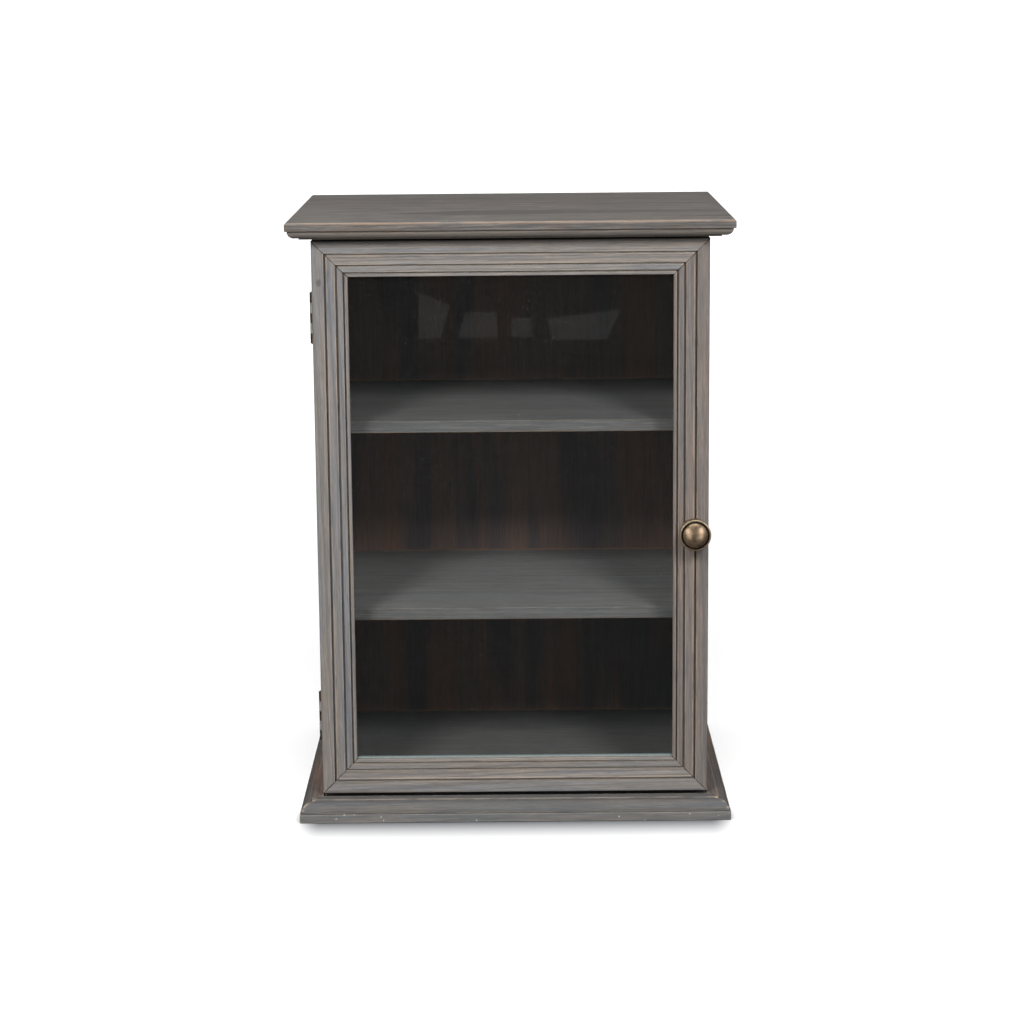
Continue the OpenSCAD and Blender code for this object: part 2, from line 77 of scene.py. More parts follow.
class Grain(Enum):
    """The way the fibres of a piece of wood run: the axis along, then the two across."""

    ALONG_X = ("X", "Y", "Z")
    ALONG_Y = ("Y", "X", "Z")
    ALONG_Z = ("Z", "X", "Y")


class Body(Enum):
    """The two bodies that the hinge joins."""

    CASE = "case"
    DOOR = "door"


# ---- Painting materials ----


class Painter:
    """Builds one material's nodes, with a short method for each kind of node."""

    def __init__(self, name: str) -> None:
        """Starts an empty material.

        Args:
            name: The material's name.
        """
        self.material = bpy.data.materials.new(name)
        self.material.use_nodes = True
        self.tree = self.material.node_tree
        self.tree.nodes.clear()
        self.output = self.tree.nodes.new("ShaderNodeOutputMaterial")

    def node(self, kind: str, **settings: object) -> bpy.types.Node:
        """Adds a node.

        Args:
            kind: The node's type, without its ShaderNode prefix.
            settings: The node's own properties.

        Returns:
            The new node.
        """
        made = self.tree.nodes.new("ShaderNode" + kind)
        for key, value in settings.items():
            setattr(made, key, value)
        return made

    def feed(self, socket: Socket, source: Union[Source, Tone]) -> None:
        """Links a socket to another's output, or sets it to a plain value.

        Args:
            socket: The input that is fed.
            source: An output, a number or a tone.
        """
        if isinstance(source, bpy.types.NodeSocket):
            self.tree.links.new(source, socket)
        elif isinstance(source, tuple) and len(socket.default_value) == 4:
            socket.default_value = (*source, 1.0)
        else:
            socket.default_value = source

    def fed(
        self, kind: str, inputs: dict[Union[int, str], object], **settings: object
    ) -> bpy.types.Node:
        """Adds a node and feeds its inputs.

        Args:
            kind: The node's type, without its ShaderNode prefix.
            inputs: What each input is fed, by its place or its name.
            settings: The node's own properties.

        Returns:
            The new node.
        """
        made = self.node(kind, **settings)
        for key, source in inputs.items():
            self.feed(made.inputs[key], source)
        return made

    def math(
        self, operation: str, a: Source, b: Source = 0.0, c: float = 0.0, clamp: bool = False
    ) -> Socket:
        """One step of arithmetic on up to three values, held between 0 and 1 if clamped."""
        made = self.fed("Math", {0: a, 1: b, 2: c}, operation=operation, use_clamp=clamp)
        return made.outputs[0]

    def times(self, a: Source, b: Source) -> Socket:
        """The product of two values."""
        return self.math("MULTIPLY", a, b)

    def plus(self, a: Source, b: Source) -> Socket:
        """The sum of two values."""
        return self.math("ADD", a, b)

    def less(self, a: Source, b: Source) -> Socket:
        """The first value less the second."""
        return self.math("SUBTRACT", a, b)

    def far(self, a: Source, b: Source) -> Socket:
        """The straight distance that two distances at a right angle make."""
        squares = self.plus(self.math("POWER", a, 2.0), self.math("POWER", b, 2.0))
        return self.math("SQRT", squares)

    def ramp(self, value: Source, slope: float, start: float) -> Socket:
        """A straight line: the value times the slope, plus the start."""
        return self.math("MULTIPLY_ADD", value, slope, start)

    def around(self, noise: Socket, swing: float) -> Socket:
        """Turns noise into a value that swings evenly about 1, by so much for a unit of noise."""
        return self.ramp(noise, swing, 1 - swing / 2)

    def step(self, value: Source, low: float, high: float) -> Socket:
        """A soft step of a value, from 0 at low to 1 at high, which may be below low."""
        spans = {"Value": value, "From Min": low, "From Max": high}
        return self.fed("MapRange", spans, interpolation_type="SMOOTHSTEP", clamp=True).outputs[0]

    def mix(self, share: Source, a: Union[Socket, Tone], b: Union[Socket, Tone]) -> Socket:
        """Mixes two tones, with a share of the second one from 0 to 1."""
        made = self.fed("Mix", {0: share, 6: a, 7: b}, data_type="RGBA", clamp_factor=True)
        return made.outputs[2]

    def brighten(self, tone: Socket, by: Source) -> Socket:
        """Multiplies a tone by a grey value, 1 for no change."""
        return self.fed("VectorMath", {0: tone, 3: by}, operation="SCALE").outputs[0]

    def place(self) -> Socket:
        """The place on the piece, in metres in the row frame, which moves with the piece."""
        return self.node("TexCoord").outputs["Object"]

    def split(self, vector: Socket) -> dict[str, Socket]:
        """The X, Y and Z of a vector."""
        made = self.fed("SeparateXYZ", {0: vector})
        return {axis: made.outputs[axis] for axis in "XYZ"}

    def join(self, x: Source, y: Source, z: Source) -> Socket:
        """A vector of three values."""
        return self.fed("CombineXYZ", {0: x, 1: y, 2: z}).outputs[0]

    def stretch(self, vector: Socket, scale: Sequence[float], shift: float) -> Socket:
        """Scales a vector to so many waves in a metre along each axis, and shifts it."""
        inputs = {0: vector, 1: tuple(scale), 2: (shift, shift * 1.7, shift * 2.3)}
        return self.fed("VectorMath", inputs, operation="MULTIPLY_ADD").outputs[0]

    def noise(self, vector: Socket, detail: float = 2.0, rough: float = 0.5) -> Socket:
        """Cloudy noise, 0 to 1 with its middle at a half, and its finer octaves by detail."""
        inputs = {"Vector": vector, "Scale": 1.0, "Detail": detail, "Roughness": rough}
        return self.fed("TexNoise", inputs, noise_dimensions="3D").outputs["Fac"]

    def bands(self, distance: Socket, pitch: float) -> Socket:
        """Uneven bands along one distance, such as year rings, of a usual width in metres."""
        along = self.math("DIVIDE", distance, pitch)
        inputs = {"W": along, "Scale": 1.0, "Detail": 2.0, "Roughness": 0.6}
        return self.fed("TexNoise", inputs, noise_dimensions="1D").outputs["Fac"]

    def closeness(self, reach: float, inside: bool, local: bool) -> Socket:
        """How near other surfaces are: 0 in the open, towards 1 in a crease or along an arris.

        Args:
            reach: How far it looks, in metres.
            inside: True to look through the wood, which finds arrises, and False for creases.
            local: True to see only the piece itself.

        Returns:
            The closeness, 0 to 1.
        """
        settings = {"samples": 6, "inside": inside, "only_local": local}
        made = self.fed("AmbientOcclusion", {"Distance": reach}, **settings)
        return self.less(1.0, made.outputs["AO"])

    def bump(self, height: Socket, depth: float, strength: float) -> Socket:
        """A fine relief of a depth in metres, from a height of 0 to 1."""
        made = self.fed("Bump", {"Strength": strength, "Distance": depth, "Height": height})
        return made.outputs["Normal"]

    def end(self, shader: bpy.types.Node) -> bpy.types.Material:
        """Ends the material with a shader."""
        self.tree.links.new(shader.outputs[0], self.output.inputs["Surface"])
        return self.material

    def surface(self, **values: object) -> bpy.types.Material:
        """Ends the material with a Principled shader, whose inputs are named with underscores."""
        inputs = {key.replace("_", " "): value for key, value in values.items()}
        return self.end(self.fed("BsdfPrincipled", inputs))


# ---- Finishes ----


@dataclass(frozen=True)
class Mitre:
    """Where two mouldings meet at 45 degrees on both sides of the case's middle plane.

    The joint lies where (half_width - abs(x)) equals the distance from the edge along another axis.
    """

    half_width: float
    axis: str
    middle: float
    half_length: float

    @classmethod
    def at_front(cls, moulding: str) -> "Mitre":
        """The joint at each end of a front moulding, from that moulding's own box."""
        low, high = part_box(moulding)
        return cls(half_width=high.x, axis="Y", middle=low.y + 1.0, half_length=1.0)

    def gap(self, p: Painter, place: dict[str, Socket]) -> Socket:
        """The distance from the joint, in metres.

        Args:
            p: The material's p.
            place: The X, Y and Z of the place on the piece.

        Returns:
            The distance's output.
        """
        side = p.less(self.half_width, p.math("ABSOLUTE", place["X"]))
        other = p.math("ABSOLUTE", p.less(place[self.axis], self.middle))
        return p.math("ABSOLUTE", p.less(side, p.less(self.half_length, other)))


class Fibres:
    """One piece's fibres: where a place lies along and across them, and the noises they carry."""

    LEAN = 0.035
    PITH_OUT = (0.07, 0.03)
    PITH_DOWN = (0.05, 0.02)
    RING_WARP = 0.014
    LATE_WOOD = (0.50, 0.62)
    UNBROKEN = (0.34, 0.58)

    def __init__(self, painter: Painter, grain: Grain, shift: float) -> None:
        """Reads the place and makes the noises.

        Args:
            painter: The material's painter.
            grain: The way the fibres run.
            shift: A number of the piece's own, so that no two pieces show the same grain.
        """
        self.painter, self.shift = painter, shift
        self.place = painter.split(painter.place())
        self.facing = painter.split(painter.node("TexCoord").outputs["Normal"])
        self.along, self.across, self.deep = (self.place[axis] for axis in grain.value)
        self.spot = painter.join(self.along, self.across, self.deep)
        self.broad = self.cloud((6, 60), 0, 3)
        self.streak = self.cloud((3.5, 240), 3, 4, 0.65)
        self.dash = self.cloud((22, 760), 7, 3, 0.65)
        self.fibre = self.cloud((90, 1500), 11, 2)
        self.patchy = self.cloud((26, 260), 13, 3, 0.65)

    def cloud(
        self, waves: tuple[float, float], apart: float, detail: float, rough: float = 0.5
    ) -> Socket:
        """Noise that is drawn out along the fibres.

        Args:
            waves: Waves in a metre, along the fibres and across them.
            apart: What sets this noise apart from the piece's others.
            detail: Octaves of finer noise.
            rough: How strong the finer noise is.

        Returns:
            The noise, 0 to 1.
        """
        along, across = waves
        place = self.painter.stretch(self.spot, (along, across, across), self.shift + apart)
        return self.painter.noise(place, detail=detail, rough=rough)

    def late_wood(self, pitch: float) -> Socket:
        """The dark lines of the year rings, round a pith that lies askew outside the piece.

        Args:
            pitch: The usual width of a ring, in metres.

        Returns:
            The lines, 0 to 1, broken up along the fibres.
        """
        p = self.painter
        out = self.PITH_OUT[0] + self.PITH_OUT[1] * math.sin(self.shift)
        down = self.PITH_DOWN[0] + self.PITH_DOWN[1] * math.cos(self.shift * 1.3)
        lean = p.ramp(self.along, self.LEAN, out)
        radius = p.far(p.plus(self.across, lean), p.plus(self.deep, down))
        radius = p.plus(radius, p.times(self.cloud((3.5, 14), 5, 1), self.RING_WARP))
        ring = p.step(p.bands(radius, pitch), *self.LATE_WOOD)
        return p.times(ring, p.step(self.dash, *self.UNBROKEN))


@dataclass(frozen=True)
class Knot:
    """A small knot, longer along the fibres than across them."""

    along: float
    across: float
    radius: float
    long: float = 0.7
    ragged: float = 0.8 * MM

    def eye(self, wood: Fibres) -> Socket:
        """How deep in the knot a place lies.

        Args:
            wood: The piece's fibres.

        Returns:
            The depth, 0 to 1.
        """
        p = wood.painter
        length = p.times(p.less(wood.along, self.along), self.long)
        off = p.far(length, p.less(wood.across, self.across))
        off = p.plus(off, p.times(wood.fibre, self.ragged))
        return p.step(off, self.radius * 1.5, self.radius * 0.7)


@dataclass(frozen=True)
class WashedWood:
    """Brushed softwood under a grey wash, rubbed back along the arrises, with painted shade in its
    creases.
    """

    name: str
    wash: Tone
    cool: Tone
    bare: Tone
    line: Tone
    rubbed: Tone
    # The tone of the painted shade in the creases, and of the dark line along a mitre joint.
    crease_shade_and_joint: Tone
    # A pale tone painted into the creases in place of the shade: painted light.
    painted_crease_light: Optional[Tone] = None
    cool_share: float = 0.6
    bare_share: float = 0.5
    line_share: float = 0.55
    contrast: float = 1.0
    ring_pitch: float = 3.2 * MM
    rub: float = 0.8
    rub_width: float = 2.2 * MM
    rub_start: float = 0.28
    rub_soft: float = 0.22
    top_wear: float = 0.0
    low_wear: float = 0.0
    # How much darker the faces that face the front are painted: painted shade.
    front_painted_shade: float = 0.0
    edge_width: float = 0.0
    edge_pale: Tone = shade(140, 140, 140)
    edge_bare: Tone = shade(146, 122, 106)
    specks: float = 0.0
    # How strongly the creases take painted shade, and how far the closeness that finds them looks.
    seam: float = 0.9
    seam_reach: float = 2.5 * MM
    joint_width: float = 0.9 * MM
    joint_wander: float = 1.4 * MM
    joint_share: float = 0.9
    knot_share: float = 0.75
    roughness: float = 0.62
    relief: float = 0.3 * MM

    def material(
        self,
        key: str,
        grain: Grain,
        shift: float,
        seam: Optional[float] = None,
        mitre: Optional[Mitre] = None,
        knot: Optional[Knot] = None,
    ) -> bpy.types.Material:
        """Paints the finish for one piece.

        Args:
            key: The piece's name.
            grain: The way its fibres run.
            shift: A number of its own, so that no two pieces show the same grain.
            seam: How strongly its creases take the painted shade, or the painted crease light, if
                not as usual.
            mitre: A mitred joint whose line shows.
            knot: A small knot.

        Returns:
            The material.
        """
        p = Painter(f"{self.name}_{key}")
        wood = Fibres(p, grain, shift)
        tone = self.washed(wood)
        if knot is not None:
            tone = p.mix(p.times(knot.eye(wood), self.knot_share), tone, self.line)
        if self.edge_width > 0:
            tone = self.edged(wood, tone)
        tone = self.worn(wood, tone)
        tone = self.shade_specks_and_joint(wood, tone, self.seam if seam is None else seam, mitre)
        # Faces that face the front are darkened by their facing: painted shade.
        if self.front_painted_shade > 0:
            faded = p.times(p.step(wood.facing["Y"], -0.5, -0.9), self.front_painted_shade)
            tone = p.brighten(tone, p.less(1.0, faded))
        rough = p.ramp(wood.dash, 0.22, self.roughness - 0.11)
        brushed = p.plus(p.times(wood.dash, 0.7), p.times(wood.fibre, 0.3))
        return p.surface(Base_Color=tone, Roughness=rough, Normal=p.bump(brushed, self.relief, 0.6))

    def washed(self, wood: Fibres) -> Socket:
        """Lays the wash over the grain, cooler in streaks and thin in patches.

        Args:
            wood: The piece's fibres.

        Returns:
            The tone.
        """
        p = wood.painter
        cool = p.times(p.step(wood.streak, 0.46, 0.60), self.cool_share)
        tone = p.mix(cool, self.wash, self.cool)
        thin = p.plus(p.times(wood.broad, 0.6), p.times(wood.dash, 0.4))
        tone = p.mix(p.times(p.step(thin, 0.48, 0.60), self.bare_share), tone, self.bare)
        lines = p.times(wood.late_wood(self.ring_pitch), self.line_share)
        tone = p.mix(lines, tone, self.line)
        for noise, share in ((wood.dash, 1.0), (wood.fibre, 0.7), (wood.streak, 0.6)):
            tone = p.brighten(tone, p.around(noise, self.contrast * share))
        return tone

    def edged(self, wood: Fibres, tone: Socket) -> Socket:
        """Makes the edge faces patchy: pale where the wash built up and bare where it was thin.

        Args:
            wood: The piece's fibres.
            tone: The tone so far.

        Returns:
            The new tone.
        """
        p = wood.painter
        edge = p.step(p.closeness(self.edge_width, inside=True, local=True), 0.22, 0.40)
        patch = wood.cloud((17, 70), 17, 4, 0.7)
        pale, bare = p.step(patch, 0.47, 0.56), p.step(patch, 0.50, 0.42)
        for area, share, shown in ((pale, 0.7, self.edge_pale), (bare, 0.6, self.edge_bare)):
            tone = p.mix(p.times(p.times(edge, area), share), tone, shown)
        return p.brighten(tone, p.around(wood.dash, self.contrast * 0.6))

    def worn(self, wood: Fibres, tone: Socket) -> Socket:
        """Rubs back the arrises, and the rounded upper or lower edges where the finish says so.

        Args:
            wood: The piece's fibres.
            tone: The tone so far.

        Returns:
            The new tone.
        """
        p = wood.painter
        near = p.closeness(self.rub_width, inside=True, local=True)
        arris = p.step(near, self.rub_start, self.rub_start + self.rub_soft)
        arris = p.times(arris, p.step(wood.patchy, 0.38, 0.54))
        tone = p.mix(p.times(arris, self.rub), tone, self.rubbed)
        for wear, way in ((self.top_wear, 1.0), (self.low_wear, -1.0)):
            if wear > 0:
                up = p.times(wood.facing["Z"], way)
                slope = p.step(p.times(up, p.less(1.0, up)), 0.08, 0.18)
                sloped = p.times(slope, p.step(wood.patchy, 0.34, 0.50))
                tone = p.mix(p.times(sloped, wear), tone, self.rubbed)
        return tone

    def shade_specks_and_joint(self, wood: Fibres, tone: Socket, seam: float, mitre: Optional[Mitre]) -> Socket:
        """Paints shade into the creases, or light where a crease light is given, drops specks and
        draws the joint.

        Args:
            wood: The piece's fibres.
            tone: The tone so far.
            seam: How strongly the painted shade, or the painted crease light, shows in the creases.
            mitre: A mitred joint, drawn as an uneven dark line.

        Returns:
            The new tone.
        """
        p = wood.painter
        # Painted shade in the creases, by how near other surfaces are; a crease light paints light
        # there instead.
        crease = p.step(p.closeness(self.seam_reach, inside=False, local=False), 0.32, 0.84)
        tone = p.mix(p.times(crease, seam), tone, self.painted_crease_light or self.crease_shade_and_joint)
        if self.specks > 0:
            drops = p.noise(p.stretch(p.place(), (240, 240, 240), wood.shift), detail=1)
            drops = p.times(p.step(drops, 0.75, 0.77), self.specks)
            tone = p.mix(drops, tone, self.edge_pale)
        if mitre is not None:
            wander = p.times(p.less(wood.patchy, 0.5), self.joint_wander)
            gap = p.plus(mitre.gap(p, wood.place), wander)
            line = p.step(gap, self.joint_width, self.joint_width / 3)
            tone = p.mix(p.times(line, self.joint_share), tone, self.crease_shade_and_joint)
        return tone


@dataclass(frozen=True)
class StainedPly:
    """Thin ply with upright grain under a dark, uneven stain."""

    name: str
    stain: Tone
    warm: Tone
    cool: Tone
    seam: Tone
    seam_reach: float = 3 * MM
    roughness: float = 0.55
    relief: float = 0.12 * MM

    def material(self, key: str) -> bpy.types.Material:
        """Paints the finish for one piece.

        Args:
            key: The piece's name.

        Returns:
            The material.
        """
        p = Painter(f"{self.name}_{key}")
        place = p.place()
        bands = p.noise(p.stretch(place, (21, 21, 2.2), 4), detail=4)
        drift = p.noise(p.stretch(place, (17, 17, 1.8), 19), detail=2)
        fine = p.noise(p.stretch(place, (420, 420, 9), 8), detail=3, rough=0.6)
        fibre = p.noise(p.stretch(place, (1900, 1900, 60), 2), detail=1)
        tone = p.mix(p.step(bands, 0.46, 0.60), self.stain, self.warm)
        tone = p.mix(p.times(p.step(drift, 0.48, 0.62), 0.8), tone, self.cool)
        tone = p.brighten(tone, p.ramp(p.plus(fine, fibre), 0.55, 0.45))
        crease = p.step(p.closeness(self.seam_reach, inside=False, local=False), 0.25, 0.55)
        tone = p.mix(p.times(crease, p.step(drift, 0.36, 0.56)), tone, self.seam)
        rough = p.ramp(fine, 0.2, self.roughness)
        return p.surface(Base_Color=tone, Roughness=rough, Normal=p.bump(fine, self.relief, 0.4))


@dataclass(frozen=True)
class TurnedRing:
    """A ring turned round an axis that runs front to back, such as a groove or the lip round it.

    It covers the whole turn, or only what lies above a height when that is given.
    """

    x: float
    z: float
    inner: float
    outer: float
    front_of: float
    above: Optional[float] = None
    soft: float = 0.5 * MM

    def mask(self, p: Painter, place: dict[str, Socket]) -> Socket:
        """How far inside the ring a place lies, 0 to 1.

        Args:
            p: The material's p.
            place: The X, Y and Z of the place on the piece.

        Returns:
            The mask's output.
        """
        radius = p.far(p.less(place["X"], self.x), p.less(place["Z"], self.z))
        inside = p.step(radius, self.inner - self.soft, self.inner + self.soft)
        outside = p.step(radius, self.outer + self.soft, self.outer - self.soft)
        front = p.math("LESS_THAN", place["Y"], self.front_of)
        ring = p.times(p.times(inside, outside), front)
        if self.above is None:
            return ring
        return p.times(ring, p.step(place["Z"], self.above, self.above + self.outer))


@dataclass(frozen=True)
class AgedMetal:
    """Metal with a patina: dark in its hollows, cloudy on its faces and rubbed bright on its rims.

    A groove may be turned in it, which holds the patina, and a lip whose upper part is painted
    bright, a painted highlight.
    """

    name: str
    face: Tone
    hollow: Tone
    rubbed: Tone
    roughness: float = 0.32
    metallic: float = 1.0
    cloud: float = 0.35
    hollow_reach: float = 2.5 * MM
    rim_width: float = 0.9 * MM
    relief: float = 0.03 * MM
    groove: Optional[TurnedRing] = None
    highlight_lip: Optional[TurnedRing] = None

    def material(self, key: str) -> bpy.types.Material:
        """Paints the finish for one piece.

        Args:
            key: The piece's name.

        Returns:
            The material.
        """
        p = Painter(f"{self.name}_{key}")
        place = p.place()
        cloud = p.noise(p.stretch(place, (210, 210, 210), 6), detail=3, rough=0.6)
        speck = p.noise(p.stretch(place, (1500, 1500, 1500), 9), detail=2)
        tone = p.mix(p.times(p.step(cloud, 0.42, 0.66), self.cloud), self.face, self.hollow)
        rim = p.step(p.closeness(self.rim_width, inside=True, local=True), 0.25, 0.60)
        tone = p.mix(p.times(rim, p.step(speck, 0.25, 0.6)), tone, self.rubbed)
        crease = p.step(p.closeness(self.hollow_reach, inside=False, local=False), 0.25, 0.75)
        tone = p.mix(p.times(crease, 0.92), tone, self.hollow)
        # The groove holds the patina; the lip, only above a height, is painted in the rubbed tone as
        # a painted highlight.
        for ring, share, shown in ((self.groove, 0.95, self.hollow), (self.highlight_lip, 0.9, self.rubbed)):
            if ring is not None:
                tone = p.mix(p.times(ring.mask(p, p.split(place)), share), tone, shown)
        rough = p.ramp(p.plus(cloud, speck), 0.16, self.roughness - 0.16)
        bump = p.bump(speck, self.relief, 0.25)
        return p.surface(Base_Color=tone, Metallic=self.metallic, Roughness=rough, Normal=bump)


@dataclass(frozen=True)
class FloatGlass:
    """Clear float glass with a trace of green, specks of dust and a painted glint along its lower
    edge.
    """

    name: str
    body: Tone
    glint_and_dust: Tone
    sill: float
    roughness: float = 0.012
    index: float = 1.5
    both_faces: float = 1.9
    # How high the painted glint runs above the sill, where it is full, and how strong it is.
    glint_top: float = 2.2 * MM
    glint_full: float = 0.4 * MM
    glint_share: float = 0.35
    grain_share: float = 0.5
    film: float = 0.004

    def material(self, key: str) -> bpy.types.Material:
        """Paints the finish for one pane.

        Args:
            key: The piece's name.

        Returns:
            The material.
        """
        p = Painter(f"{self.name}_{key}")
        place = p.place()
        clear = p.fed("BsdfTransparent", {"Color": self.body})
        shine = p.fed("BsdfAnisotropic", {"Color": (1.0, 1.0, 1.0), "Roughness": self.roughness})
        edge = p.fed("Fresnel", {"IOR": self.index})
        outer = p.less(1.0, p.node("NewGeometry").outputs["Backfacing"])
        mirrored = p.times(edge.outputs[0], self.both_faces)
        mirrored = p.math("MULTIPLY", mirrored, outer, clamp=True)
        pane = p.fed("MixShader", {0: mirrored, 1: clear.outputs[0], 2: shine.outputs[0]})

        haze = p.fed("BsdfDiffuse", {"Color": self.glint_and_dust})
        # A pale bluish band just above the sill is a painted glint; the specks over the pane are
        # dust.
        height = p.less(p.split(place)["Z"], self.sill)
        low = p.times(p.step(height, self.glint_top, self.glint_full), self.glint_share)
        specks = p.noise(p.stretch(place, (900, 900, 900), 3), detail=2)
        grains = p.times(p.step(specks, 0.71, 0.76), self.grain_share)
        share = p.math("MULTIPLY_ADD", p.math("MAXIMUM", low, grains), 1.0, self.film, clamp=True)
        return p.end(p.fed("MixShader", {0: share, 1: pane.outputs[0], 2: haze.outputs[0]}))


@dataclass(frozen=True)
class Moulded:
    """Moulded plastic or pressed ferrite: a fine even grain and rubbed corners."""

    name: str
    body: Tone
    rubbed: Tone
    roughness: float = 0.5
    rim_width: float = 0.8 * MM
    relief: float = 0.05 * MM

    def material(self, key: str) -> bpy.types.Material:
        """Paints the finish for one piece.

        Args:
            key: The piece's name.

        Returns:
            The material.
        """
        p = Painter(f"{self.name}_{key}")
        speck = p.noise(p.stretch(p.place(), (1300, 1300, 1300), 5), detail=3)
        rim = p.step(p.closeness(self.rim_width, inside=True, local=True), 0.3, 0.7)
        tone = p.mix(p.times(rim, 0.5), self.body, self.rubbed)
        tone = p.brighten(tone, p.around(speck, 0.4))
        rough = p.ramp(speck, 0.2, self.roughness - 0.1)
        return p.surface(Base_Color=tone, Roughness=rough, Normal=p.bump(speck, self.relief, 0.3))


FRAME_WOOD = WashedWood(
    name="washed_frame",
    wash=shade(132, 127, 122),
    cool=shade(112, 115, 120),
    bare=shade(148, 134, 121),
    line=shade(84, 80, 78),
    rubbed=shade(182, 160, 138),
    crease_shade_and_joint=shade(24, 22, 21),
    rub=0.6,
)
BOARD_WOOD = WashedWood(
    name="washed_board",
    wash=shade(125, 121, 116),
    cool=shade(111, 112, 114),
    bare=shade(134, 121, 111),
    line=shade(76, 71, 69),
    rubbed=shade(176, 148, 124),
    crease_shade_and_joint=shade(30, 28, 27),
    line_share=0.6,
    contrast=1.6,
    rub=0.9,
    rub_start=0.18,
    edge_width=6 * MM,
    front_painted_shade=0.38,
    top_wear=0.55,
    edge_pale=shade(120, 120, 121),
    edge_bare=shade(132, 111, 97),
    specks=0.4,
)
CROWN_WOOD = WashedWood(
    name="washed_crown",
    wash=shade(114, 109, 103),
    cool=shade(100, 99, 98),
    bare=shade(126, 113, 101),
    line=shade(76, 71, 68),
    rubbed=shade(152, 132, 114),
    crease_shade_and_joint=shade(34, 31, 29),
    line_share=0.4,
    rub=0.4,
)
BASE_WOOD = WashedWood(
    name="washed_base",
    wash=shade(106, 106, 105),
    cool=shade(94, 98, 102),
    bare=shade(124, 115, 106),
    line=shade(82, 82, 84),
    rubbed=shade(170, 156, 140),
    crease_shade_and_joint=shade(38, 37, 37),
    line_share=0.35,
    bare_share=0.4,
    contrast=0.9,
    edge_pale=shade(190, 190, 188),
    specks=0.8,
    rub_width=3.2 * MM,
)
# A darker copy of the base wood: painted shade that offsets the light falling on the moulding's
# upward-facing ovolo.
BASE_MOULDING = replace(
    BASE_WOOD,
    name="washed_base_moulding",
    wash=shade(96, 95, 94),
    cool=shade(85, 88, 92),
    bare=shade(113, 104, 95),
    rub=1.0,
    specks=0.0,
    seam=0.3,
)
BASE_SIDE_MOULDING = replace(
    BASE_MOULDING,
    name="washed_base_side",
    wash=shade(104, 98, 93),
    bare=shade(128, 104, 90),
    bare_share=0.8,
)
SHELF_WOOD = WashedWood(
    name="washed_shelf",
    wash=shade(120, 120, 119),
    cool=shade(106, 109, 112),
    bare=shade(124, 117, 110),
    line=shade(82, 81, 80),
    rubbed=shade(170, 142, 114),
    crease_shade_and_joint=shade(28, 26, 25),
    line_share=0.25,
    bare_share=0.25,
    rub=0.6,
    edge_width=5 * MM,
    front_painted_shade=0.28,
    low_wear=0.8,
    edge_pale=shade(122, 123, 123),
    edge_bare=shade(98, 92, 86),
)
BACK_PLY = StainedPly(
    name="stained_back",
    stain=shade(117, 98, 91),
    warm=shade(125, 97, 85),
    cool=shade(85, 81, 87),
    seam=shade(176, 132, 98),
)
ANTIQUE_BRASS = AgedMetal(
    name="antique_brass",
    face=shade(186, 160, 132),
    hollow=shade(44, 36, 28),
    rubbed=shade(236, 218, 186),
    roughness=0.38,
    metallic=0.9,
)
BRONZE = AgedMetal(
    name="bronzed",
    face=shade(92, 78, 62),
    hollow=shade(40, 33, 27),
    rubbed=shade(138, 122, 98),
    roughness=0.42,
)
# The door's leaves: pale and barely metallic, a painted reflection that stands in for the bright
# sheen on their knuckles.
PAINTED_SHEEN_LEAF = replace(
    BRONZE,
    name="bronzed_painted_sheen",
    face=shade(160, 157, 152),
    hollow=shade(66, 61, 56),
    rubbed=shade(196, 192, 186),
    roughness=0.6,
    metallic=0.2,
)
ZINC = AgedMetal(
    name="zinc",
    face=shade(186, 188, 190),
    hollow=shade(110, 110, 108),
    rubbed=shade(215, 216, 216),
    roughness=0.36,
    cloud=0.2,
)
CATCH_PLASTIC = Moulded(name="catch_plastic", body=shade(84, 62, 48), rubbed=shade(112, 88, 70))
FERRITE = Moulded(name="ferrite", body=shade(54, 54, 56), rubbed=shade(80, 80, 82), roughness=0.6)


# ---- Sub-assemblies ----


def dress(node: str, material: bpy.types.Material) -> str:
    """Gives a CAD piece its material.

    Args:
        node: The piece's name.
        material: The material that covers all of it.

    Returns:
        The piece's name.
    """
    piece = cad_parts[node]
    piece.data.materials.clear()
    piece.data.materials.append(material)
    for polygon in piece.data.polygons:
        polygon.material_index = 0
    return node


@dataclass
class Lathe:
    """Turns a half section about its axis into a closed mesh."""

    section: Sequence[tuple[float, float]]
    sides: int = 20

    def ring_mesh(self, name: str, places: Sequence[Matrix]) -> bpy.types.Object:
        """Makes one object with a turned solid at each place.

        Args:
            name: The object's name.
            places: Where each solid stands; its axis is +Z.

        Returns:
            The object.
        """
        shape = bmesh.new()
        for place in places:
            rows = []
            for radius, height in self.section[1:-1]:
                turn = (2 * math.pi * i / self.sides for i in range(self.sides))
                points = (Vector((radius * math.cos(a), radius * math.sin(a), height)) for a in turn)
                rows.append([shape.verts.new(place @ point) for point in points])
            ends = [shape.verts.new(place @ Vector((0, 0, self.section[i][1]))) for i in (0, -1)]
            for i in range(self.sides):
                j = (i + 1) % self.sides
                for low, high in zip(rows, rows[1:]):
                    shape.faces.new((low[i], low[j], high[j], high[i]))
                shape.faces.new((rows[0][j], rows[0][i], ends[0]))
                shape.faces.new((rows[-1][i], rows[-1][j], ends[1]))
        for face in shape.faces:
            face.smooth = True
        mesh = bpy.data.meshes.new(name)
        shape.to_mesh(mesh)
        shape.free()
        made = bpy.data.objects.new(name, mesh)
        bpy.context.scene.collection.objects.link(made)
        return made


